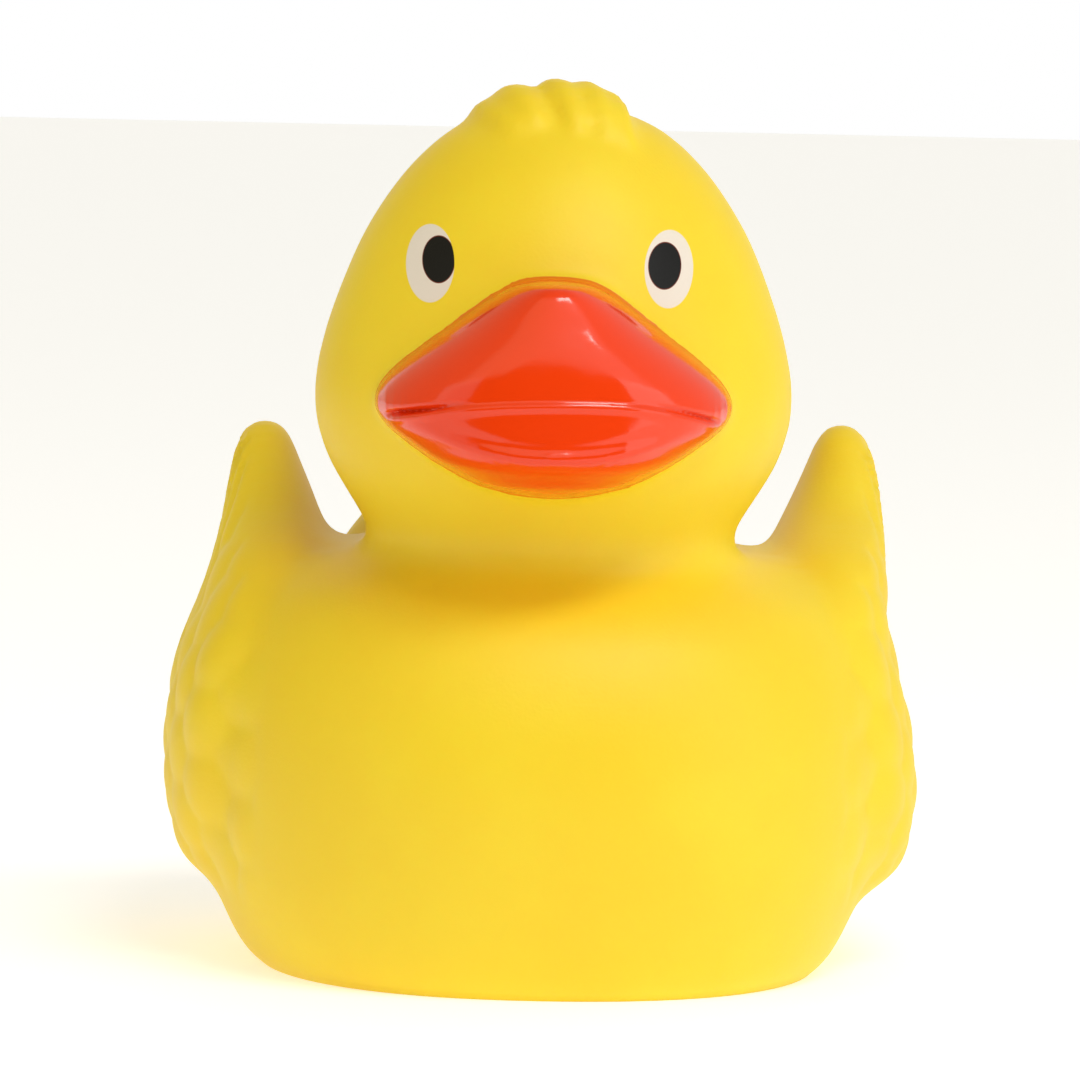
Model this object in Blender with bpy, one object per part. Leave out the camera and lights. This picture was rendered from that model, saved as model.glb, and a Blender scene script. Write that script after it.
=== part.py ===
"""A hollow vinyl bath duck with a squeaker pressed into its base.

Metres, +Z up. The duck stands on z = 0 and faces -Y, with the origin under the middle of its box.
Sizes are written in millimetres, as on a drawing, and MM turns them into metres.
"""

import math

import bmesh
import bpy
from mathutils import Matrix, Vector

MM = 0.001

# Driving dimensions of the moulding.
WALL = 2.2  # vinyl thickness of the shell
FLOOR = 3.0  # thicker floor that grips the squeaker
HEAD_AXIS = Vector((-0.05, -7.0, 0.0))  # the head sits forward of the middle of the body
CROWN = 83.2  # top of the bare head, under the tuft
CROWN_FALL = 0.0198  # how the crown drops away from its top, for each square millimetre of reach
CROWN_STEEPENING = 0.00006  # how much faster it drops further out
HEAD_DEPTH = 0.95  # depth of the head over its width
HEAD_TURN = Matrix.Rotation(math.radians(-2.5), 3, "Z")  # the head looks a touch to its right
FILLET_PASSES = 10  # rounds of smoothing that melt the forms together

# How finely the skins are meshed.
SKIN_VOXEL = 0.9
SKIN_TRIANGLES = 6400
CAVITY_VOXEL = 1.3
CAVITY_TRIANGLES = 1900

# Driving dimensions of the squeaker.
GAP = 0.3  # clearance between touching pieces
HOLE_RADIUS = 7.5
RECESS_RADIUS = 9.6
RECESS_DEPTH = 1.6
CUP_TOP = 12.0
CUP_WALL = 1.1
LEDGE = 1.2  # inner lip at the top of the cup that stops the block
BLOCK_HEIGHT = 3.6
VENT_RADIUS = 1.5
TURNED_SIDES = 32

YELLOW = (0.86, 0.64, 0.04)
WHITE = (0.80, 0.80, 0.76)
GREY = (0.45, 0.47, 0.50)


def clear_scene():
    for obj in list(bpy.data.objects):
        bpy.data.objects.remove(obj)


def add_object(name, mesh):
    obj = bpy.data.objects.new(name, mesh)
    bpy.context.scene.collection.objects.link(obj)
    return obj


def plastic(name, colour, roughness):
    material = bpy.data.materials.new(name)
    material.use_nodes = True
    shader = material.node_tree.nodes["Principled BSDF"]
    shader.inputs["Base Color"].default_value = (*colour, 1)
    shader.inputs["Roughness"].default_value = roughness
    shader.inputs["Metallic"].default_value = 0
    return material


# ---------------------------------------------------------------- lofting level sections


def ring(height, x, y):
    """One level section of a form, from its extents in X and Y: its height, centres and half sizes."""
    return (height, (x[0] + x[1]) / 2, (x[1] - x[0]) / 2, (y[0] + y[1]) / 2, (y[1] - y[0]) / 2)


def beyond(neighbour):
    """The ring past a closed end, turned inside out so that the end is round and not pointed."""
    height, centre_x, half_x, centre_y, half_y = neighbour
    return (height, centre_x, -half_x, centre_y, -half_y)


def section_at(rings, share):
    """The section at a share of the way from the first ring to the last, on a smooth curve."""
    points = [beyond(rings[1]), *rings, beyond(rings[-2])]
    place = share * (len(rings) - 1)
    index = min(int(place), len(rings) - 2)
    t = place - index
    return [
        0.5 * (2 * b + (c - a) * t + (2 * a - 5 * b + 4 * c - d) * t**2 + (3 * b - a - 3 * c + d) * t**3)
        for a, b, c, d in zip(*points[index:index + 4])
    ]


def loft(bm, rings, squareness=2.0, inset=0.0):
    """A closed form through level sections, top first. Squareness 2 is an ellipse, more is boxier."""
    verts = bmesh.ops.create_uvsphere(bm, u_segments=56, v_segments=44, radius=1)["verts"]
    middle = (rings[0][0] + rings[-1][0]) / 2
    shrink = 1 - inset / (rings[0][0] - middle)
    for vert in verts:
        share = math.acos(max(-1.0, min(1.0, vert.co.z))) / math.pi
        height, centre_x, half_x, centre_y, half_y = section_at(rings, share)
        angle = math.atan2(vert.co.y, vert.co.x)
        side, front = math.cos(angle), math.sin(angle)
        reach = (abs(side) ** squareness + abs(front) ** squareness) ** (-1 / squareness)
        vert.co = Vector((
            centre_x + max(half_x - inset, 0) * reach * side,
            centre_y + max(half_y - inset, 0) * reach * front,
            middle + (height - middle) * shrink,
        )) * MM
    return verts


def ramp(value, start, end):
    """0 before start, 1 after end, and a smooth rise between them."""
    t = max(0.0, min(1.0, (value - start) / (end - start)))
    return t * t * (3 - 2 * t)


def bump(value, centre, half_width):
    """A smooth hill of height 1 at the centre."""
    return math.exp(-((value - centre) / half_width) ** 2)


# ---------------------------------------------------------------- the duck's forms


def trunk(bm, inset):
    rings = [
        ring(41.0, x=(0, 0), y=(0, 0)),
        ring(40.3, x=(-17, 17), y=(-18, 22)),
        ring(38.3, x=(-25, 25), y=(-25, 29)),
        ring(35.0, x=(-29.5, 29.5), y=(-30, 34)),
        ring(28.0, x=(-32.2, 32.2), y=(-33.8, 37.0)),
        ring(20.0, x=(-33.0, 33.0), y=(-35.2, 37.8)),
        ring(12.0, x=(-32.6, 32.6), y=(-34.4, 36.6)),
        ring(6.0, x=(-31.1, 30.5), y=(-32.4, 34.0)),
        ring(1.6, x=(-28.9, 28.3), y=(-30.4, 31.0)),
        ring(0.0, x=(-27.1, 26.5), y=(-28.8, 29.2)),
        ring(-3.0, x=(-21, 21), y=(-24, 24)),
        ring(-6.0, x=(0, 0), y=(0, 0)),
    ]
    loft(bm, rings, squareness=2.25, inset=inset)


def set_on_neck(bm, verts):
    """Turn forms that are drawn round the head's own axis, and move them onto the neck."""
    bmesh.ops.rotate(bm, verts=verts, cent=(0, 0, 0), matrix=HEAD_TURN)
    bmesh.ops.translate(bm, verts=verts, vec=HEAD_AXIS * MM)


def head(bm, inset):
    profile = [
        (CROWN, 0.0), (81.6, 8.2), (77.5, 13.6), (71.6, 17.8), (65.7, 20.4), (60.0, 22.2),
        (54.5, 22.9), (49.5, 21.7), (45.5, 19.4), (41.0, 16.8), (34.0, 15.5), (28.0, 0.0),
    ]
    rings = []
    for height, half_width in profile:
        half_depth = half_width * HEAD_DEPTH
        rings.append(ring(height, x=(-half_width, half_width), y=(-half_depth, half_depth)))
    set_on_neck(bm, loft(bm, rings, inset=inset))


def bill(bm, inset):
    rings = [
        ring(67.2, x=(0, 0), y=(-17, -17)),
        ring(66.8, x=(-3.4, 3.4), y=(-27.2, -7)),
        ring(65.4, x=(-6.0, 6.0), y=(-28.5, -5)),
        ring(63.4, x=(-8.7, 8.7), y=(-29.2, -3)),
        ring(60.8, x=(-12.2, 12.2), y=(-30.2, -1)),
        ring(58.4, x=(-15.0, 15.0), y=(-30.8, 0)),
        ring(56.6, x=(-16.4, 16.4), y=(-31.0, 0)),
        ring(55.0, x=(-16.7, 16.7), y=(-31.3, 0)),
        ring(53.4, x=(-15.7, 15.7), y=(-31.6, 0)),
        ring(51.8, x=(-13.6, 13.6), y=(-32.0, 0)),
        ring(50.4, x=(-11.6, 11.6), y=(-31.6, -1)),
        ring(49.2, x=(-9.6, 9.6), y=(-28.8, -2)),
        ring(47.8, x=(-6.8, 6.8), y=(-24.8, -3)),
        ring(46.4, x=(0, 0), y=(-15, -15)),
    ]
    set_on_neck(bm, loft(bm, rings, squareness=2.2, inset=inset))


def crown_height(x, y):
    """The height of the bare crown at a place round the head's axis."""
    square = x * x + y * y
    return CROWN - CROWN_FALL * square - CROWN_STEEPENING * square * square


def tuft(bm):
    """Five locks of down, combed over the crown and forwards, towards +X."""
    locks = [(-5.8, -0.3, 1.9), (-3.8, 0.7, 1.9), (-0.1, 1.0, 1.5), (2.7, 0.9, 1.4), (4.7, 0.4, 1.2)]
    middle_y = -3.0
    run_x, run_y = 2.1, -6.6  # half of a lock's length, from its middle to its front end
    half_height = 1.35
    for middle_x, lift, half_width in locks:
        verts = bmesh.ops.create_uvsphere(bm, u_segments=24, v_segments=24, radius=1)["verts"]
        for vert in verts:
            along, across, up = vert.co.z, vert.co.x, vert.co.y
            x = middle_x + run_x * along
            y = middle_y + run_y * along
            z = crown_height(x, y) + lift * (1 - along * along) + half_height * up
            side_x = half_width * across
            side_y = -run_x / run_y * side_x  # square to the run
            vert.co = Vector((x + side_x, y + side_y, z)) * MM
        set_on_neck(bm, verts)


def tail(bm, inset):
    rings = [
        ring(50.6, x=(0, 0), y=(36.4, 36.4)),
        ring(49.4, x=(-5.6, 5.6), y=(32.6, 38.8)),
        ring(46.4, x=(-11.4, 11.4), y=(28.4, 39.4)),
        ring(42.6, x=(-15.8, 15.8), y=(22.0, 39.4)),
        ring(37.4, x=(-20.0, 20.0), y=(14.0, 39.0)),
        ring(31.0, x=(-22.4, 22.4), y=(8.0, 38.2)),
        ring(24.0, x=(-20.0, 20.0), y=(6.0, 36.6)),
        ring(17.0, x=(0, 0), y=(18, 18)),
    ]
    loft(bm, rings, inset=inset)


def wing(bm, side, inset):
    """One wing. Side is 1 for +X and -1 for -X, and the two soft tips have set a little differently."""
    levels = [
        (50.9, (28.4, 28.4), (18.0, 18.0)),
        (49.8, (26.2, 30.4), (14.5, 21.5)),
        (46.8, (24.9, 31.4), (10.0, 23.5)),
        (43.0, (23.2, 31.9), (3.5, 25.0)),
        (39.0, (21.5, 32.4), (-7.0, 26.4)),
        (34.0, (21.0, 33.3), (-13.6, 27.4)),
        (27.0, (21.0, 35.4), (-15.6, 27.0)),
        (19.0, (21.0, 36.5), (-14.8, 25.0)),
        (12.0, (21.0, 35.8), (-11.6, 20.4)),
        (7.4, (22.0, 33.0), (-6.0, 14.0)),
        (5.4, (27.0, 27.0), (4.0, 4.0)),
    ]
    rings = [ring(height, x=sorted(side * reach for reach in x), y=y) for height, x, y in levels]
    tip_lean, tip_lift = (1.5, 0.8) if side == 1 else (1.0, 0.2)
    middle_lean = -0.5
    foot_lean = 0.2
    for vert in loft(bm, rings, squareness=2.3, inset=inset):
        height = vert.co.z / MM
        tip = ramp(height, 30, 45)
        middle = bump(height, 28, 7)
        foot = 1 - ramp(height, 8, 20)
        lean = tip_lean * tip + middle_lean * middle + foot_lean * foot
        vert.co += Vector((lean, 0, tip_lift * tip)) * MM


def forms(name, inset=0.0):
    """All the forms of the duck, overlapping. An inset gives the same forms inside the wall."""
    bm = bmesh.new()
    head(bm, inset)
    bill(bm, inset)
    if inset == 0:
        tuft(bm)
    trunk(bm, inset)
    tail(bm, inset)
    for side in (-1, 1):
        wing(bm, side, inset)
    mesh = bpy.data.meshes.new(name)
    bm.to_mesh(mesh)
    bm.free()
    return mesh


def fused(name, inset, voxel, triangles, floor_height):
    """The forms melted into one closed skin of about so many triangles, cut flat at its floor."""
    obj = add_object(name, forms(name, inset))
    remesh = obj.modifiers.new("melt the forms together", "REMESH")
    remesh.mode = "VOXEL"
    remesh.voxel_size = voxel * MM
    smooth = obj.modifiers.new("fillet the joins", "SMOOTH")
    smooth.factor = 0.5
    smooth.iterations = FILLET_PASSES
    evaluated = obj.evaluated_get(bpy.context.evaluated_depsgraph_get())
    faces = len(evaluated.to_mesh().polygons)
    evaluated.to_mesh_clear()
    decimate = obj.modifiers.new("fewer faces", "DECIMATE")
    decimate.ratio = triangles / (2 * faces)
    obj.data = bpy.data.meshes.new_from_object(obj.evaluated_get(bpy.context.evaluated_depsgraph_get()))
    obj.modifiers.clear()

    bm = bmesh.new()
    bm.from_mesh(obj.data)
    everything = bm.verts[:] + bm.edges[:] + bm.faces[:]
    cut = bmesh.ops.bisect_plane(
        bm, geom=everything, plane_co=(0, 0, floor_height * MM), plane_no=(0, 0, -1), clear_outer=True,
    )
    rim = [item for item in cut["geom_cut"] if isinstance(item, bmesh.types.BMEdge)]
    bmesh.ops.contextual_create(bm, geom=rim)
    bmesh.ops.triangulate(bm, faces=bm.faces[:])
    bm.to_mesh(obj.data)
    bm.free()
    return obj


# ---------------------------------------------------------------- turned pieces


def turned(name, profile):
    """A solid of revolution about Z. The profile lists (radius, height), down the outside first."""
    bm = bmesh.new()
    verts = [bm.verts.new((radius * MM, 0, height * MM)) for radius, height in profile]
    edges = [bm.edges.new(pair) for pair in zip(verts, verts[1:] + verts[:1])]
    bmesh.ops.spin(
        bm, geom=verts + edges, cent=(0, 0, 0), axis=(0, 0, 1), angle=2 * math.pi,
        steps=TURNED_SIDES, use_merge=True, use_duplicate=False,
    )
    bmesh.ops.remove_doubles(bm, verts=bm.verts[:], dist=0.00001)
    bmesh.ops.recalc_face_normals(bm, faces=bm.faces[:])
    mesh = bpy.data.meshes.new(name)
    bm.to_mesh(mesh)
    bm.free()
    return add_object(name, mesh)


def cut_away(obj, cutter, name):
    cutter.hide_render = True
    cutter.display_type = "WIRE"
    boolean = obj.modifiers.new(name, "BOOLEAN")
    boolean.operation = "DIFFERENCE"
    boolean.solver = "EXACT"
    boolean.object = cutter


def finish(obj, material):
    obj.data.materials.clear()
    obj.data.materials.append(material)
    obj.data.shade_smooth()
    obj.data.set_sharp_from_angle(angle=math.radians(40))


def make_body():
    body = fused("duck_body", 0.0, SKIN_VOXEL, SKIN_TRIANGLES, 0.0)
    finish(body, plastic("yellow vinyl", YELLOW, 0.45))
    cut_away(body, fused("cavity", WALL, CAVITY_VOXEL, CAVITY_TRIANGLES, FLOOR), "hollow out")
    drill = turned("squeaker_hole", [
        (0, FLOOR + 2), (HOLE_RADIUS, FLOOR + 2), (HOLE_RADIUS, RECESS_DEPTH),
        (RECESS_RADIUS, RECESS_DEPTH), (RECESS_RADIUS, -1), (0, -1),
    ])
    cut_away(body, drill, "squeaker hole")


def make_squeaker():
    outer = HOLE_RADIUS - GAP
    inner = outer - CUP_WALL
    flange = RECESS_RADIUS - GAP
    flange_top = RECESS_DEPTH - GAP
    cup = turned("squeaker_cup", [
        (outer, CUP_TOP), (outer, flange_top), (flange, flange_top), (flange, GAP),
        (inner, GAP), (inner, CUP_TOP - LEDGE), (inner - LEDGE, CUP_TOP - LEDGE), (inner - LEDGE, CUP_TOP),
    ])
    finish(cup, plastic("white plastic", WHITE, 0.35))
    block_top = CUP_TOP - LEDGE - GAP
    block = turned("squeaker_block", [
        (inner - GAP, block_top), (inner - GAP, block_top - BLOCK_HEIGHT),
        (VENT_RADIUS, block_top - BLOCK_HEIGHT), (VENT_RADIUS, block_top),
    ])
    finish(block, plastic("grey plastic", GREY, 0.4))


def main():
    clear_scene()
    make_body()
    make_squeaker()


main()
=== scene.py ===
# %% [markdown]
# # A vinyl bath duck
# The real toy is one hollow moulding of soft vinyl with a squeaker pressed into its base. This lesson
# models it the way a toy sculptor works: rough forms first, then the fillets that melt them together,
# then the details, and the paint last. The CAD model is the frame: it gives the size and the place.

# %% Load the frame
import math

import bmesh
import bpy
from mathutils import Matrix, Vector
from mathutils.bvhtree import BVHTree


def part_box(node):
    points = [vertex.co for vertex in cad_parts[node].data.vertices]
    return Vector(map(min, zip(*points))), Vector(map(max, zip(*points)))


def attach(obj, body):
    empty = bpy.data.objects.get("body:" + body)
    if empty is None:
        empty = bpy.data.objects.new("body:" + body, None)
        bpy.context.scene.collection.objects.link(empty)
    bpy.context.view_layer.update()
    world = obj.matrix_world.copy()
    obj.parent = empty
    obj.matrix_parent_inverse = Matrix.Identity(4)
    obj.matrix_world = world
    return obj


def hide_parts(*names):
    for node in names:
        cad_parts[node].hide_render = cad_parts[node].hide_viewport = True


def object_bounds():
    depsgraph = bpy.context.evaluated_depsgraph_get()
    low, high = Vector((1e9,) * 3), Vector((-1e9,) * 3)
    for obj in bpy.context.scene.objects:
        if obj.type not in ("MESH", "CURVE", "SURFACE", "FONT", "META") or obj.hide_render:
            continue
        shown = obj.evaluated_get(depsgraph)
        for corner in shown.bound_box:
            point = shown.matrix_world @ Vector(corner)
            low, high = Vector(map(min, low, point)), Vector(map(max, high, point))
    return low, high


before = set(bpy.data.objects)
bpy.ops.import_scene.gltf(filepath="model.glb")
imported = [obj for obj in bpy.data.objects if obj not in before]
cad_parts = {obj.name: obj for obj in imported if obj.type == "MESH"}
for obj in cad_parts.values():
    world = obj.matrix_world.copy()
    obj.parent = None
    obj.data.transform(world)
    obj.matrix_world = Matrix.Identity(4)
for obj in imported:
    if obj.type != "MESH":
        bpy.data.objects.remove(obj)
cad_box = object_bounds()
low, high = cad_box
DRAWN_HEIGHT = 85.0
MM = (high.z - low.z) / DRAWN_HEIGHT
print(f"the duck is {(high.z - low.z) * 1000:.1f} mm tall, so one drawn unit is {MM * 1000:.3f} mm")

# %% [markdown]
# ## The camera
# A product picture is taken with a long lens from a little above the subject, which keeps the bill from
# looking too big. The camera looks at the middle of the duck and leans by about one degree.

# %% The camera
CAMERA_DISTANCE = 702.0
CAMERA_AZIMUTH = math.radians(-2.5)
CAMERA_RISE = 58.5
CAMERA_LEAN = math.radians(1.3)
AIM = Vector((-0.7, 0.0, 40.7)) * MM
VIEW_WIDTH = 104.4  # what the frame takes in at the duck's middle
SENSOR = 36.0


def make_camera():
    data = bpy.data.cameras.new("camera")
    data.sensor_width = SENSOR
    data.lens = SENSOR * CAMERA_DISTANCE / VIEW_WIDTH
    data.clip_start = 0.01
    data.clip_end = 10
    camera = bpy.data.objects.new("camera", data)
    bpy.context.scene.collection.objects.link(camera)
    level = math.sqrt(CAMERA_DISTANCE**2 - CAMERA_RISE**2)
    offset = Vector((
        level * math.sin(CAMERA_AZIMUTH), -level * math.cos(CAMERA_AZIMUTH), CAMERA_RISE,
    )) * MM
    looking = (-offset).to_track_quat("-Z", "Y").to_matrix().to_4x4()
    lean = Matrix.Rotation(CAMERA_LEAN, 4, "Z")
    camera.matrix_world = Matrix.Translation(AIM + offset) @ looking @ lean
    bpy.context.scene.camera = camera


make_camera()

# %% [markdown]
# ## Forms by level sections
# A sculptor thinks in sections: how wide and how deep is the form at this height? Each form below starts
# as a sphere, whose rings are then moved onto level sections. A smooth curve runs through the sections,
# so a dozen of them are enough for the head, and the sphere's poles close the form at both ends.

# %% Shape a sphere by level sections


def ring(height, x, y):
    """One level section from its extents in X and Y: its height, centres and half sizes."""
    return (height, (x[0] + x[1]) / 2, (x[1] - x[0]) / 2, (y[0] + y[1]) / 2, (y[1] - y[0]) / 2)


def beyond(neighbour):
    """The ring past a closed end, turned inside out so that the end is round and not pointed."""
    height, centre_x, half_x, centre_y, half_y = neighbour
    return (height, centre_x, -half_x, centre_y, -half_y)


def section_at(rings, share):
    """The section at a share of the way from the first ring to the last, on a smooth curve."""
    points = [beyond(rings[1]), *rings, beyond(rings[-2])]
    place = share * (len(rings) - 1)
    index = min(int(place), len(rings) - 2)
    t = place - index
    return [
        0.5 * (2 * b + (c - a) * t + (2 * a - 5 * b + 4 * c - d) * t**2 + (3 * b - a - 3 * c + d) * t**3)
        for a, b, c, d in zip(*points[index:index + 4])
    ]


def loft(bm, rings, squareness=2.0, inset=0.0):
    """A closed form through level sections, top first. Squareness 2 is an ellipse, more is boxier."""
    verts = bmesh.ops.create_uvsphere(bm, u_segments=96, v_segments=72, radius=1)["verts"]
    middle = (rings[0][0] + rings[-1][0]) / 2
    shrink = 1 - inset / (rings[0][0] - middle)
    for vert in verts:
        share = math.acos(max(-1.0, min(1.0, vert.co.z))) / math.pi
        height, centre_x, half_x, centre_y, half_y = section_at(rings, share)
        angle = math.atan2(vert.co.y, vert.co.x)
        side, front = math.cos(angle), math.sin(angle)
        reach = (abs(side) ** squareness + abs(front) ** squareness) ** (-1 / squareness)
        vert.co = Vector((
            centre_x + max(half_x - inset, 0) * reach * side,
            centre_y + max(half_y - inset, 0) * reach * front,
            middle + (height - middle) * shrink,
        )) * MM
    return verts


# %% [markdown]
# A form rarely stops at a line. Two curves of Python do most of the blending in this lesson: a ramp from
# one level to another, and a bump that rises and falls again.

# %% Two curves for soft edges


def ramp(value, start, end):
    """0 before start, 1 after end, and a smooth rise between them."""
    t = max(0.0, min(1.0, (value - start) / (end - start)))
    return t * t * (3 - 2 * t)


def bump(value, centre, half_width):
    """A smooth hill of height 1 at the centre, gone at about twice its half width."""
    return math.exp(-((value - centre) / half_width) ** 2)


# %% [markdown]
# ## The large forms
# The trunk is a boxy egg with a flat underside, the head an upright egg that sits forward on it. The
# wings are two flat pads whose tips stand up at the back like cupped hands, and the tail is a blunt
# wedge between them.

# %% Trunk, head, tail and wings
HEAD_AXIS = Vector((-0.05, -7.0, 0.0))
HEAD_DEPTH = 0.95
HEAD_ANGLE = math.radians(-2.5)
HEAD_TURN = Matrix.Rotation(HEAD_ANGLE, 3, "Z")

TRUNK = [
    ring(41.0, x=(0, 0), y=(0, 0)),
    ring(40.3, x=(-17, 17), y=(-18, 22)),
    ring(38.3, x=(-25, 25), y=(-25, 29)),
    ring(35.0, x=(-29.5, 29.5), y=(-30, 34)),
    ring(28.0, x=(-32.2, 32.2), y=(-33.8, 37.0)),
    ring(20.0, x=(-33.0, 33.0), y=(-35.2, 37.8)),
    ring(12.0, x=(-32.6, 32.6), y=(-34.4, 36.6)),
    ring(6.0, x=(-31.1, 30.5), y=(-32.4, 34.0)),
    ring(1.6, x=(-28.9, 28.3), y=(-30.4, 31.0)),
    ring(0.0, x=(-27.1, 26.5), y=(-28.8, 29.2)),
    ring(-3.0, x=(-21, 21), y=(-24, 24)),
    ring(-6.0, x=(0, 0), y=(0, 0)),
]
CROWN = 83.2  # the top of the bare head, under the tuft
CROWN_FALL = 0.0198  # how the crown drops away from its top, for each square unit of reach
CROWN_STEEPENING = 0.00006  # how much faster it drops further out
HEAD_PROFILE = [
    (CROWN, 0.0), (81.6, 8.2), (77.5, 13.6), (71.6, 17.8), (65.7, 20.4), (60.0, 22.2),
    (54.5, 22.9), (49.5, 21.7), (45.5, 19.4), (41.0, 16.8), (34.0, 15.5), (28.0, 0.0),
]
HEAD_HALF_WIDTH = max(half_width for _, half_width in HEAD_PROFILE)
HEAD = [
    ring(height, x=(-half_width, half_width), y=(-half_width * HEAD_DEPTH, half_width * HEAD_DEPTH))
    for height, half_width in HEAD_PROFILE
]
TAIL = [
    ring(50.6, x=(0, 0), y=(36.4, 36.4)),
    ring(49.4, x=(-5.6, 5.6), y=(32.6, 38.8)),
    ring(46.4, x=(-11.4, 11.4), y=(28.4, 39.4)),
    ring(42.6, x=(-15.8, 15.8), y=(22.0, 39.4)),
    ring(37.4, x=(-20.0, 20.0), y=(14.0, 39.0)),
    ring(31.0, x=(-22.4, 22.4), y=(8.0, 38.2)),
    ring(24.0, x=(-20.0, 20.0), y=(6.0, 36.6)),
    ring(17.0, x=(0, 0), y=(18, 18)),
]
WING = [
    ring(50.9, x=(28.4, 28.4), y=(18.0, 18.0)),
    ring(49.8, x=(26.2, 30.4), y=(14.5, 21.5)),
    ring(46.8, x=(24.9, 31.4), y=(10.0, 23.5)),
    ring(43.0, x=(23.2, 31.9), y=(3.5, 25.0)),
    ring(39.0, x=(21.5, 32.4), y=(-7.0, 26.4)),
    ring(34.0, x=(21.0, 33.3), y=(-13.6, 27.4)),
    ring(27.0, x=(21.0, 35.4), y=(-15.6, 27.0)),
    ring(19.0, x=(21.0, 36.5), y=(-14.8, 25.0)),
    ring(12.0, x=(21.0, 35.8), y=(-11.6, 20.4)),
    ring(7.4, x=(22.0, 33.0), y=(-6.0, 14.0)),
    ring(5.4, x=(27.0, 27.0), y=(4.0, 4.0)),
]


def set_on_neck(bm, verts):
    """Turn forms that were made round the head's own axis, and move them onto the neck."""
    bmesh.ops.rotate(bm, verts=verts, cent=(0, 0, 0), matrix=HEAD_TURN)
    bmesh.ops.translate(bm, verts=verts, vec=HEAD_AXIS * MM)


def add_wing(bm, side, inset=0.0):
    """The wing on one side, +1 or -1. The soft tips of the two have set a little differently."""
    verts = loft(bm, WING, squareness=2.3, inset=inset)
    if side < 0:
        bmesh.ops.scale(bm, verts=verts, vec=(-1, 1, 1))
        bmesh.ops.reverse_faces(bm, faces=list({face for vert in verts for face in vert.link_faces}))
    tip_lean, tip_lift = (1.5, 0.8) if side == 1 else (1.0, 0.2)
    middle_lean = -0.5
    foot_lean = 0.2
    for vert in verts:
        height = vert.co.z / MM
        tip = ramp(height, 30, 45)
        middle = bump(height, 28, 7)
        foot = 1 - ramp(height, 8, 20)
        lean = tip_lean * tip + middle_lean * middle + foot_lean * foot
        vert.co += Vector((lean, 0, tip_lift * tip)) * MM


def large_forms(inset=0.0):
    bm = bmesh.new()
    set_on_neck(bm, loft(bm, HEAD, inset=inset))
    loft(bm, TRUNK, squareness=2.25, inset=inset)
    loft(bm, TAIL, inset=inset)
    add_wing(bm, 1, inset)
    add_wing(bm, -1, inset)
    return bm


# %% [markdown]
# ## Melting forms together
# Voxel remesh turns any heap of closed forms into one skin of even little quads. Smoothing that skin
# then works like a wet sponge on clay: it fills the corners where two forms meet. The more rounds a
# region gets, the wider its fillet, so the neck gets many and a wing's edge few.

# %% Helpers for the skin


def fuse(bm, voxel):
    """Melt all forms of a bmesh into one skin of quads of about that size."""
    mesh = bpy.data.meshes.new("clay")
    bm.to_mesh(mesh)
    bm.free()
    clay = bpy.data.objects.new("clay", mesh)
    bpy.context.scene.collection.objects.link(clay)
    remesh = clay.modifiers.new("melt the forms together", "REMESH")
    remesh.mode = "VOXEL"
    remesh.voxel_size = voxel * MM
    evaluated = clay.evaluated_get(bpy.context.evaluated_depsgraph_get())
    skin = bmesh.new()
    skin.from_mesh(evaluated.to_mesh())
    bpy.data.objects.remove(clay)
    print(f"fused at {voxel} mm: {len(skin.verts)} points")
    return skin


def soften(bm, verts, rounds):
    """Move each point halfway to the middle of its neighbours, a number of times."""
    for _ in range(rounds):
        bmesh.ops.smooth_vert(
            bm, verts=verts, factor=0.5, use_axis_x=True, use_axis_y=True, use_axis_z=True,
        )


def relax(bm, rounds, where=None):
    """Smooth the points for which where(x, y, z), in drawn units, is true."""
    soften(bm, [v for v in bm.verts if where is None or where(*(v.co / MM))], rounds)


# %% Fuse the large forms


def by_neck(x, y, z):
    return 34 < z < 47 and abs(x) < 18 and y < 14


skin = fuse(large_forms(), voxel=0.9)
relax(skin, 20, by_neck)
relax(skin, 8)

# %% [markdown]
# ## The bill
# The bill is a block with a tall rounded front that stands out from the face. Its sections are drawn
# round the head's own axis, like the head's, so that both can turn together. The mouth line and the
# rolls beside it are too fine for the block, and are pressed into its front afterwards.

# %% The bill's block and the tuft
BILL = [
    ring(67.2, x=(0, 0), y=(-17, -17)),
    ring(66.8, x=(-3.4, 3.4), y=(-27.2, -7)),
    ring(65.4, x=(-6.0, 6.0), y=(-28.5, -5)),
    ring(63.4, x=(-8.7, 8.7), y=(-29.2, -3)),
    ring(60.8, x=(-12.2, 12.2), y=(-30.2, -1)),
    ring(58.4, x=(-15.0, 15.0), y=(-30.8, 0)),
    ring(56.6, x=(-16.4, 16.4), y=(-31.0, 0)),
    ring(55.0, x=(-16.7, 16.7), y=(-31.3, 0)),
    ring(53.4, x=(-15.7, 15.7), y=(-31.6, 0)),
    ring(51.8, x=(-13.6, 13.6), y=(-32.0, 0)),
    ring(50.4, x=(-11.6, 11.6), y=(-31.6, -1)),
    ring(49.2, x=(-9.6, 9.6), y=(-28.8, -2)),
    ring(47.8, x=(-6.8, 6.8), y=(-24.8, -3)),
    ring(46.4, x=(0, 0), y=(-15, -15)),
]
LOCKS = [(-5.8, -0.2, 1.9), (-3.8, 0.8, 1.9), (-0.1, 1.1, 1.5), (2.7, 1.0, 1.4), (4.7, 0.5, 1.2)]
LOCK_MIDDLE_Y = -3.0
LOCK_RUN = (2.1, -6.6)  # half of a lock's length, from its middle to its front end
LOCK_HALF_HEIGHT = 1.35


def crown_height(x, y):
    """The height of the bare crown at a place round the head's axis."""
    square = x * x + y * y
    return CROWN - CROWN_FALL * square - CROWN_STEEPENING * square * square


def below_tuft(x, y, z):
    return z < 82


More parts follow.
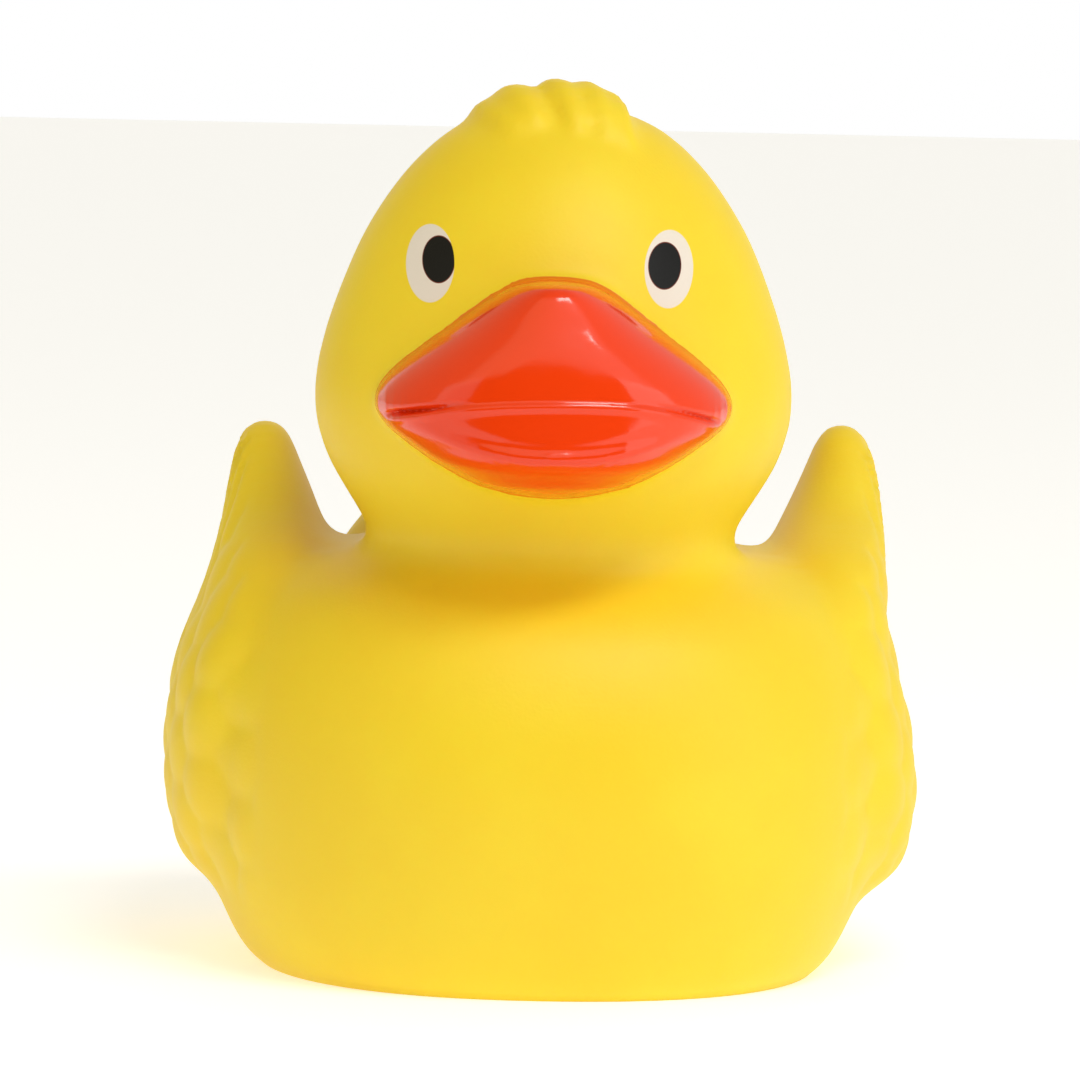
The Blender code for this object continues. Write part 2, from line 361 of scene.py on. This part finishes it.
def add_lock(bm, middle_x, lift, half_width):
    """One lock of down, combed over the crown and forwards, towards the duck's left."""
    verts = bmesh.ops.create_uvsphere(bm, u_segments=32, v_segments=32, radius=1)["verts"]
    run_x, run_y = LOCK_RUN
    for vert in verts:
        along, across, up = vert.co.z, vert.co.x, vert.co.y
        x = middle_x + run_x * along
        y = LOCK_MIDDLE_Y + run_y * along
        z = crown_height(x, y) + lift * (1 - along * along) + LOCK_HALF_HEIGHT * up
        side_x = half_width * across
        side_y = -run_x / run_y * side_x  # square to the run
        vert.co = Vector((x + side_x, y + side_y, z)) * MM
    set_on_neck(bm, verts)


set_on_neck(skin, loft(skin, BILL, squareness=2.2))
for lock in LOCKS:
    add_lock(skin, *lock)
bmesh.ops.recalc_face_normals(skin, faces=skin.faces)
skin = fuse(skin, voxel=0.66)
relax(skin, 3, below_tuft)
relax(skin, 1)

# %% [markdown]
# ## The mouth
# The front of the bill needs finer points than the rest. Its edges are split, twice round the mouth
# line, and then each point moves along its own normal: in for the mouth line and the groove above the
# lower lip, and out for the soft rolls beside them. The line is deepest at the corners of the mouth.

# %% Press the mouth into the bill


def from_neck(co):
    """A point in drawn units round the head's own axis: the way back from set_on_neck."""
    return HEAD_TURN.transposed() @ (co / MM - HEAD_AXIS)


def mouth_height(x):
    """The mouth line is flat in the middle and drops to both corners, a touch lopsided."""
    return 56.6 - 2.0 * abs((x - 3) / (12 if x > 3 else 18)) ** 2.4


def groove_height(x):
    """The groove above the lower lip rises towards both sides."""
    return 52.2 + 1.3 * (x / 9) ** 2


def on_bill(place):
    """Whether a place is on the bill, or on the face close round it."""
    x, y, z = place
    if y >= -14 or abs(x) >= 17.5 or not 45.5 < z < 68.5:
        return False
    return y < 0.6 - 0.93 * math.sqrt(HEAD_HALF_WIDTH**2 - x * x)


def by_mouth(place):
    """Whether a place is on the bill's front, near the mouth line or the groove."""
    x, y, z = place
    return y < -17 and abs(x) < 15.8 and groove_height(x) - 2.4 < z < mouth_height(x) + 1.3


def refine(bm, chosen, rounds):
    """Split the edges among the chosen points in two, and smooth the finer skin a little."""
    verts = {vert for vert in bm.verts if chosen(from_neck(vert.co))}
    edges = [edge for edge in bm.edges if edge.verts[0] in verts and edge.verts[1] in verts]
    bmesh.ops.subdivide_edges(bm, edges=edges, cuts=1, use_grid_fill=True)
    bmesh.ops.triangulate(bm, faces=[face for face in bm.faces if len(face.verts) > 4])
    soften(bm, [vert for vert in bm.verts if chosen(from_neck(vert.co))], rounds)
    print(f"refined to {len(bm.verts)} points")


def mouth_relief(place):
    """How far the bill's front stands out at a place, in drawn units."""
    x, z = place.xz
    inside = 1 - ramp(abs(x), 14.6, 16.2)
    mouth, groove = mouth_height(x), groove_height(x)
    depth = 0.06 + 0.95 * ramp(-x, 7, 14) + 0.5 * ramp(x, 8, 14)
    relief = -depth * bump(z, mouth, 0.30)
    relief += 0.20 * bump(z, mouth - 0.5, 0.45)
    relief -= 0.10 * bump(z, groove, 0.5) * (1 - ramp(abs(x), 5, 11))
    relief += 0.24 * bump(z, groove - 1.0, 0.6) * (1 - ramp(abs(x), 8, 14))
    return relief * inside


def press_mouth(bm):
    bm.normal_update()
    moves = []
    for vert in bm.verts:
        place = from_neck(vert.co)
        if by_mouth(place) or on_bill(place):
            facing = ramp(-(HEAD_TURN.transposed() @ vert.normal).y, 0.1, 0.5)
            moves.append((vert, vert.normal * mouth_relief(place) * facing * MM))
    for vert, move in moves:
        vert.co += move


refine(skin, on_bill, 3)
refine(skin, by_mouth, 2)
press_mouth(skin)

# %% [markdown]
# ## The feathers
# The outer sides of the wings are covered with soft cushions, one for each feather: small round ones in
# staggered columns at the front, and long ones behind that fan out from the wing's tip. They are too
# shallow to model one by one. A formula gives the height of the cushions at any place, and the skin's
# points move out by it. Where two cushions meet, the formula takes the higher one, which leaves a crease.

# %% Raise the feathers
FEATHER_WIDTH = 6.0
FEATHER_HEIGHT = 6.6
FEATHER_RELIEF = 0.95
FEATHER_LEVEL = 0.75  # cushions higher than this stand out from the wing, and lower ones sink in
FIRST_COLUMN = -11.6
FIRST_ROW = 29.8
STAGGER = 3.1  # how much lower every second column sits
TIP = (17.0, 53.0)  # the Y and height that the long feathers run up to
FAN_STEP = math.radians(9)


def short_feathers(y, z):
    """The height of the small cushions, 1 at a feather's middle and less towards its edge."""
    height = 0.0
    column = round((y - FIRST_COLUMN) / FEATHER_WIDTH)
    for number in (column - 1, column, column + 1):
        middle = FIRST_ROW - STAGGER * (number % 2)
        row = round((z - middle) / FEATHER_HEIGHT)
        for step_up in (row - 1, row, row + 1):
            across = (y - FIRST_COLUMN - FEATHER_WIDTH * number) / FEATHER_WIDTH
            up = (z - middle - FEATHER_HEIGHT * step_up) / FEATHER_HEIGHT
            height = max(height, 1 - 1.5 * across * across - 1.7 * up * up + 0.25 * up)
    return height


def long_feathers(y, z):
    """The height of the long cushions, which run up to the wing's tip like the ribs of a fan."""
    turn = math.atan2(y - TIP[0], TIP[1] - z) / FAN_STEP
    return 1 - 2.2 * (turn - round(turn)) ** 2


def raise_feathers(bm):
    bm.normal_update()
    moves = []
    for vert in bm.verts:
        x, y, z = vert.co / MM
        side = 1 if x > 0 else -1
        facing = ramp(vert.normal.x * side, 0.42, 0.72)
        if abs(x) < 24 or not 5 < z < 53 or facing == 0:
            continue
        behind = ramp(y + 0.35 * z, 15, 19)
        height = (1 - behind) * short_feathers(y, z) + behind * long_feathers(y, z)
        fade = facing * ramp(z, 6, 10) * (1 - ramp(z, 40, 50) * (1 - behind)) * (1 - ramp(z, 47, 52))
        fade *= ramp(abs(x), 27, 29.5) * (1 - ramp(y, 23, 27))
        moves.append((vert, vert.normal * (height - FEATHER_LEVEL) * FEATHER_RELIEF * fade * MM))
    for vert, move in moves:
        vert.co += move
    print(f"feathers raised over {len(moves)} points")


raise_feathers(skin)

# %% [markdown]
# ## The flat base and the hollow inside
# The moulding is hollow and open underneath, where the squeaker is pressed in. The skin is cut flat at
# the bottom, and the cut's rim is bridged to a circle. Extruding that circle makes the recess and the
# hole, and a second skin, made from the same forms inside the wall, closes the hollow above it.

# %% Cut the base and line the hollow
WALL = 2.2
FLOOR = 3.0
HOLE_RADIUS = 7.5
RECESS_RADIUS = 9.6
RECESS_DEPTH = 1.6
HOLE_SIDES = 96


def cut_flat(bm, height):
    """Clear away what lies below a height, and give back the edges of the cut."""
    cut = bmesh.ops.bisect_plane(
        bm, geom=bm.verts[:] + bm.edges[:] + bm.faces[:], plane_co=(0, 0, height * MM),
        plane_no=(0, 0, -1), clear_outer=True,
    )
    return [item for item in cut["geom_cut"] if isinstance(item, bmesh.types.BMEdge)]


def step(bm, edges, radius, rise):
    """Extrude a circle of edges to another radius and height, and give back the new circle."""
    grown = bmesh.ops.extrude_edge_only(bm, edges=edges)["geom"]
    verts = [item for item in grown if isinstance(item, bmesh.types.BMVert)]
    now = verts[0].co.xy.length
    bmesh.ops.scale(bm, verts=verts, vec=(radius * MM / now, radius * MM / now, 1))
    bmesh.ops.translate(bm, verts=verts, vec=(0, 0, rise * MM))
    return [item for item in grown if isinstance(item, bmesh.types.BMEdge)]


def hollow(skin):
    rim = cut_flat(skin, 0)
    circle = bmesh.ops.create_circle(skin, segments=HOLE_SIDES, radius=RECESS_RADIUS * MM)["verts"]
    edges = list({edge for vert in circle for edge in vert.link_edges})
    bmesh.ops.bridge_loops(skin, edges=rim + edges)
    edges = step(skin, edges, RECESS_RADIUS, RECESS_DEPTH)
    edges = step(skin, edges, HOLE_RADIUS, 0)
    edges = step(skin, edges, HOLE_RADIUS, FLOOR - RECESS_DEPTH)

    lining = large_forms(inset=WALL)
    set_on_neck(lining, loft(lining, BILL, squareness=2.2, inset=WALL))
    lining = fuse(lining, voxel=1.8)
    relax(lining, 6)
    cut_flat(lining, FLOOR)
    bmesh.ops.reverse_faces(lining, faces=lining.faces[:])
    mesh = bpy.data.meshes.new("lining")
    lining.to_mesh(mesh)
    lining.free()
    skin.from_mesh(mesh)
    open_edges = [edge for edge in skin.edges if edge.is_boundary]
    bmesh.ops.bridge_loops(skin, edges=open_edges)
    still_open = sum(edge.is_boundary for edge in skin.edges)
    print(f"the hollow is lined; {still_open} edges are open")


hollow(skin)

# %% [markdown]
# ## Where the bill's paint ends
# The bill is sprayed through a mask that ends where the bill meets the face. So the paint follows the
# form: a point is painted when it stands out from the bare head. That distance is measured here, and
# kept on the mesh as an attribute, in drawn units, for the material to read.

# %% Measure how far the bill stands out from the bare head
PAINT_ATTRIBUTE = "stands_out"
PAINT_START = 0.5
BARE = -2.0  # the value of a point that is nowhere near the bill
PAINT_SMOOTHING = 4


def near_bill(place):
    x, y, z = place
    return y < -12 and abs(x) < 18 and 44.5 < z < 69.5


def measure_paint(bm):
    bare_head = bmesh.new()
    set_on_neck(bare_head, loft(bare_head, HEAD))
    tree = BVHTree.FromBMesh(bare_head)
    layer = bm.verts.layers.float.new(PAINT_ATTRIBUTE)
    painted = 0
    for vert in bm.verts:
        vert[layer] = BARE
        if near_bill(from_neck(vert.co)):
            surface, normal, _, _ = tree.find_nearest(vert.co)
            vert[layer] = (vert.co - surface).dot(normal) / MM - PAINT_START
            painted += vert[layer] > 0
    bare_head.free()
    for _ in range(PAINT_SMOOTHING):
        means = {}
        for vert in bm.verts:
            if vert[layer] > BARE:
                neighbours = [edge.other_vert(vert)[layer] for edge in vert.link_edges]
                means[vert] = sum(neighbours) / len(neighbours)
        for vert, mean in means.items():
            vert[layer] = mean
    print(f"{painted} points are painted")


measure_paint(skin)

# %% [markdown]
# ## Assembling the duck
# The finished skin becomes an object of its own, hung from the root body. It takes the place of the CAD
# body, which is hidden.

# %% Assemble the duck


def make_object(name, bm):
    mesh = bpy.data.meshes.new(name)
    bm.to_mesh(mesh)
    bm.free()
    piece = bpy.data.objects.new(name, mesh)
    bpy.context.scene.collection.objects.link(piece)
    mesh.shade_smooth()
    mesh.set_sharp_from_angle(angle=math.radians(50))
    print(f"{name}: {len(mesh.polygons)} faces")
    return piece


def stand_for(piece, node):
    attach(piece, "root")
    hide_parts(node)


duck = make_object("duck_skin", skin)
stand_for(duck, "duck_body")

# %% [markdown]
# ## The squeaker
# Two turned plastic pieces: a cup with a flange, pressed into the hole in the base, and inside it a
# block with a reed that sounds when air is squeezed through. Each is a profile spun round the Z axis,
# with its edges rounded by a bevel, as a mould would leave them.

# %% Turn the squeaker
CUP_LOW, CUP_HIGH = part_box("squeaker_cup")
BLOCK_LOW, BLOCK_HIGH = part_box("squeaker_block")
FLANGE = CUP_HIGH.x / MM
FLANGE_FOOT = CUP_LOW.z / MM
CUP_TOP = CUP_HIGH.z / MM
BLOCK_RADIUS = BLOCK_HIGH.x / MM
BLOCK_FOOT = BLOCK_LOW.z / MM
BLOCK_TOP = BLOCK_HIGH.z / MM
GAP = 0.3
LEDGE = 1.2  # the lip at the top of the cup that stops the block
CUP_RADIUS = HOLE_RADIUS - GAP
CUP_INSIDE = BLOCK_RADIUS + GAP
VENT_RADIUS = 1.5
EDGE_ROUND = 0.2


def turn(name, profile):
    """Spin a closed profile of radius and height round Z, round its edges, and make it an object."""
    bm = bmesh.new()
    verts = [bm.verts.new((radius * MM, 0, height * MM)) for radius, height in profile]
    edges = [bm.edges.new(pair) for pair in zip(verts, verts[1:] + verts[:1])]
    bmesh.ops.spin(
        bm, geom=verts + edges, cent=(0, 0, 0), axis=(0, 0, 1), angle=math.tau, steps=HOLE_SIDES,
        use_merge=True,
    )
    bmesh.ops.remove_doubles(bm, verts=bm.verts, dist=1e-7)
    bmesh.ops.recalc_face_normals(bm, faces=bm.faces)
    corners = [edge for edge in bm.edges if edge.calc_face_angle(0) > math.radians(60)]
    bmesh.ops.bevel(
        bm, geom=corners, offset=EDGE_ROUND * MM, segments=3, profile=0.5, affect="EDGES", material=-1,
    )
    return make_object(name, bm)


cup = turn("squeaker_cup_turned", [
    (CUP_RADIUS, CUP_TOP), (CUP_RADIUS, RECESS_DEPTH - GAP), (FLANGE, RECESS_DEPTH - GAP),
    (FLANGE, FLANGE_FOOT), (CUP_INSIDE, FLANGE_FOOT), (CUP_INSIDE, BLOCK_TOP + GAP),
    (CUP_INSIDE - LEDGE, BLOCK_TOP + GAP), (CUP_INSIDE - LEDGE, CUP_TOP),
])
block = turn("squeaker_block_turned", [
    (BLOCK_RADIUS, BLOCK_TOP), (BLOCK_RADIUS, BLOCK_FOOT),
    (VENT_RADIUS, BLOCK_FOOT), (VENT_RADIUS, BLOCK_TOP),
])
stand_for(cup, "squeaker_cup")
stand_for(block, "squeaker_block")

# %% [markdown]
# ## Materials as formulas
# A material is a formula: where is this point, and what is painted there? Two small classes keep the
# formulas readable. A sheet is one material's node tree and adds any node. A wire is a node's output,
# and Python's own signs on it add Math nodes, so that 1 - mask is both a formula and a node.

# %% Sheets and wires


class Wire:
    """The output of a node. Sums with it add Math nodes to its sheet."""

    def __init__(self, sheet, socket):
        self.sheet = sheet
        self.socket = socket

    def math(self, operation, *values):
        return self.sheet.node("Math", {"operation": operation}, dict(enumerate(values)))

    def root(self):
        return self.math("SQRT", self)

    def __add__(self, other):
        return self.math("ADD", self, other)

    def __sub__(self, other):
        return self.math("SUBTRACT", self, other)

    def __rsub__(self, other):
        return self.math("SUBTRACT", other, self)

    def __mul__(self, other):
        return self.math("MULTIPLY", self, other)

    def __truediv__(self, other):
        return self.math("DIVIDE", self, other)

    __radd__ = __add__
    __rmul__ = __mul__


class Sheet:
    """The node tree of one material, or of the world."""

    def __init__(self, owner):
        self.owner = owner
        owner.use_nodes = True
        self.tree = owner.node_tree
        self.tree.nodes.clear()

    def node(self, kind, settings=None, values=None, output=0):
        """Add a node: its settings first, then the values or wires of its sockets."""
        node = self.tree.nodes.new("ShaderNode" + kind)
        for name, value in (settings or {}).items():
            setattr(node, name, value)
        for name, value in (values or {}).items():
            if isinstance(value, Wire):
                self.tree.links.new(value.socket, node.inputs[name])
            else:
                node.inputs[name].default_value = value
        return Wire(self, node.outputs[output]) if node.outputs else None

    def place(self, origin=(0, 0, 0), angle=0.0):
        """The place on the piece in drawn units, round an origin and turned about Z."""
        point = self.node("TexCoord", output="Object")
        return self.node("Mapping", {"vector_type": "TEXTURE"}, {
            "Vector": point, "Location": [MM * value for value in origin],
            "Rotation": (0, 0, angle), "Scale": (MM, MM, MM),
        })

    def split(self, vector):
        first = self.node("SeparateXYZ", None, {"Vector": vector})
        return [Wire(self, socket) for socket in first.socket.node.outputs]

    def noise(self, place, size, detail=2.0):
        """A cloudy pattern, 0 to 1, with clouds of about that size in drawn units."""
        return self.node("TexNoise", None, {"Vector": place, "Scale": 1 / size, "Detail": detail}, "Fac")

    def fade(self, value, start, end):
        """0 before start, 1 after end, and a smooth rise between them."""
        return self.node("MapRange", {"interpolation_type": "SMOOTHSTEP"}, {
            "Value": value, "From Min": start, "From Max": end,
        })

    def mix(self, share, first, second):
        return self.node("Mix", {"data_type": "RGBA"}, {0: share, 6: first, 7: second}, 2)

    def relief(self, height, depth):
        """The normal of a fine relief whose height goes from 0 to 1, with its depth in drawn units."""
        return self.node("Bump", None, {"Height": height, "Distance": depth * MM, "Strength": 1.0})

    def finish(self, shader):
        self.node("OutputMaterial", None, {"Surface": shader})


def colour(red, green, blue):
    """A colour as it looks on a paint card, made linear for the shaders."""
    return (*(((value / 255 + 0.055) / 1.055) ** 2.4 for value in (red, green, blue)), 1.0)


# %% [markdown]
# ## Vinyl and paint
# The vinyl is yellow right through, soft to look into, and satin with a fine grain. The bill is sprayed
# with glossy orange-red lacquer that thins out towards its edge. There its colour turns amber, partly from
# the thin lacquer over the yellow and partly as a painted reflection of the yellow head and chest round
# it. The eyes are two pad prints, one on top of the other: a white egg, and a black pupil that sits a
# little towards the bill.

# %% The duck's material
YELLOW = colour(243, 212, 34)
WARM_YELLOW = colour(242, 208, 30)
LACQUER = colour(236, 60, 4)
# amber for the bill's edge: thin lacquer over the yellow, and a painted reflection of the yellow head and
# chest
THIN_LACQUER_AND_REFLECTED_YELLOW = colour(226, 112, 14)
EYE_WHITE = colour(230, 219, 204)
PUPIL_BLACK = colour(16, 15, 12)
PRINT_EDGE = colour(120, 50, 30)
EYE_SIZE = (2.3, 3.6)
PUPIL_SIZE = (1.5, 2.1)
EYES = [  # the middle of the white, then of the pupil; the pad print sits a touch off on one side
    ((-11.8, 68.2), (-11.0, 68.6)),
    ((10.5, 68.2), (10.1, 68.5)),
]


def oval(x, z, centre, half_size):
    """How far out a point is from an oval's centre: 1 is its edge."""
    across = (x - centre[0]) / half_size[0]
    up = (z - centre[1]) / half_size[1]
    return (across * across + up * up).root()


def make_duck_material():
    sheet = Sheet(bpy.data.materials.new("vinyl_and_paint"))
    body = sheet.place()
    head = sheet.place(HEAD_AXIS, HEAD_ANGLE)
    x, y, z = sheet.split(head)
    in_front = sheet.fade(y, -8, -9)

    cloud = sheet.noise(body, 14)
    grain = sheet.noise(body, 0.35)
    yellow = sheet.mix(sheet.fade(cloud, 0.35, 0.65), YELLOW, WARM_YELLOW)
    vinyl = sheet.node("BsdfPrincipled", None, {
        "Base Color": yellow, "Roughness": 0.46 + 0.08 * grain, "Specular IOR Level": 0.4,
        "Normal": sheet.relief(grain, 0.02), "Subsurface Weight": 0.2,
        "Subsurface Radius": (1.0, 0.55, 0.12), "Subsurface Scale": 1.6 * MM,
    })

    margin = sheet.node("Attribute", {"attribute_name": PAINT_ATTRIBUTE}, output="Fac")
    margin = margin + 0.1 * (sheet.noise(head, 1.6) - 0.5)
    painted = sheet.fade(margin, -0.06, 0.06)
    # towards the bill's edge the lacquer turns amber: thin lacquer, and a painted reflection of the yellow
    # round it
    lacquer_and_reflected_yellow = sheet.mix(sheet.fade(margin, 0.1, 1.2), THIN_LACQUER_AND_REFLECTED_YELLOW, LACQUER)
    lacquer = sheet.node("BsdfPrincipled", None, {
        "Base Color": lacquer_and_reflected_yellow, "Roughness": 0.10 + 0.06 * sheet.noise(head, 3),
        "Normal": sheet.relief(sheet.noise(head, 0.8), 0.006),
    })
    shader = sheet.node("MixShader", None, {0: painted, 1: vinyl, 2: lacquer})

    for white_centre, pupil_centre in EYES:
        white = oval(x, z, white_centre, EYE_SIZE)
        pupil = oval(x, z, pupil_centre, PUPIL_SIZE)
        specks = sheet.noise(head, 0.22)
        eye_colour = sheet.mix(sheet.fade(pupil, 1.06, 1.03), EYE_WHITE, PRINT_EDGE)
        eye_colour = sheet.mix(sheet.fade(pupil, 1.02, 0.99), eye_colour, PUPIL_BLACK)
        ink = sheet.node("BsdfPrincipled", None, {
            "Base Color": eye_colour, "Roughness": 0.30 + 0.2 * specks, "Specular IOR Level": 0.2,
            "Normal": sheet.relief(specks, 0.02),
        })
        shader = sheet.node("MixShader", None, {
            0: sheet.fade(white, 1.01, 0.98) * in_front, 1: shader, 2: ink,
        })
    sheet.finish(shader)
    return sheet.owner


duck.data.materials.append(make_duck_material())

# %% [markdown]
# ## Squeaker plastics
# Both are plain polypropylene: a milky white cup with a slight sheen, and a grey block with a duller,
# finely pitted face. Fine swirls stand for the flow of the plastic in its mould.

# %% The plastics


def make_plastic(name, dark, light, roughness, grain_size):
    sheet = Sheet(bpy.data.materials.new(name))
    place = sheet.place()
    flow = sheet.noise(place, 3.0)
    grain = sheet.noise(place, grain_size)
    shader = sheet.node("BsdfPrincipled", None, {
        "Base Color": sheet.mix(sheet.fade(flow, 0.3, 0.7), dark, light),
        "Roughness": roughness + 0.12 * grain, "Normal": sheet.relief(grain, 0.03),
    })
    sheet.finish(shader)
    return sheet.owner


cup.data.materials.append(make_plastic(
    "cup_plastic", dark=colour(226, 226, 220), light=colour(238, 238, 234), roughness=0.3, grain_size=0.5,
))
block.data.materials.append(make_plastic(
    "block_plastic", dark=colour(168, 171, 176), light=colour(182, 185, 190),
    roughness=0.42, grain_size=0.3,
))

# %% [markdown]
# ## Floor and light
# A white table runs back to a white horizon. The light is a product studio's: a dome of soft white that
# is bright above and behind and dim low in front, so that the lacquer keeps its deep colour there, one
# softbox high on the duck's left for the highlights, and a low fill on each side, weaker on its right.

# %% The floor
floor_bm = bmesh.new()
bmesh.ops.create_grid(floor_bm, x_segments=1, y_segments=1, size=3)
floor = make_object("floor", floor_bm)
paper = Sheet(bpy.data.materials.new("white_table"))
fibres = paper.noise(paper.place(), 1.5)
paper.finish(paper.node("BsdfPrincipled", None, {
    "Base Color": paper.mix(fibres, colour(240, 240, 240), colour(246, 246, 246)), "Roughness": 0.7,
    "Emission Color": (1, 1, 1, 1), "Emission Strength": 0.42,
}))
floor.data.materials.append(paper.owner)

# %% The light
HEAD_MIDDLE = Vector((0, -7, 50)) * MM


def softbox(name, azimuth, elevation, distance, size, power):
    """A flat light that faces the duck. Azimuth 0 is straight in front, and plus is the duck's left."""
    data = bpy.data.lights.new(name, "AREA")
    data.shape = "RECTANGLE"
    data.size, data.size_y = size
    data.energy = power
    light = bpy.data.objects.new(name, data)
    bpy.context.scene.collection.objects.link(light)
    turn_to, rise = math.radians(azimuth), math.radians(elevation)
    away = Vector((math.sin(turn_to) * math.cos(rise), -math.cos(turn_to) * math.cos(rise), math.sin(rise)))
    light.location = HEAD_MIDDLE + away * distance
    light.rotation_euler = away.to_track_quat("Z", "Y").to_euler()


softbox("key_softbox", azimuth=27, elevation=52, distance=0.6, size=(0.32, 0.11), power=1.3)
softbox("left_fill", azimuth=58, elevation=14, distance=0.9, size=(0.5, 0.5), power=1.4)
softbox("right_fill", azimuth=-64, elevation=14, distance=0.9, size=(0.4, 0.5), power=0.5)


def make_dome():
    """The studio round the table: dim low in front, bright above and behind."""
    dome = Sheet(bpy.data.worlds.new("studio"))
    x, y, z = dome.split(dome.node("TexCoord", output="Generated"))
    above = dome.fade(z, 0.44, 0.50)
    in_front = dome.fade(y, -0.2, -0.4)
    overhead = dome.fade(z, 0.7, 0.95)
    behind = dome.fade(y, 0.80, 0.95)
    level = (0.54 + 0.06 * x) * (1 - 0.88 * in_front * (1 - above)) * (1 - 0.35 * overhead)
    level = level + 0.6 * in_front * above * (1 - overhead)
    brightness = level + behind * (1 - level)
    tone = dome.mix(dome.fade(x, -0.7, 0.5), (1.0, 0.90, 0.60, 1.0), (1.0, 1.0, 1.0, 1.0))
    tone = dome.mix(behind, tone, (1.0, 1.0, 1.0, 1.0))
    sky = dome.node("Background", None, {"Color": tone, "Strength": brightness})
    dome.node("OutputWorld", None, {"Surface": sky})
    bpy.context.scene.world = dome.owner


make_dome()
bpy.context.scene.view_settings.view_transform = "Standard"
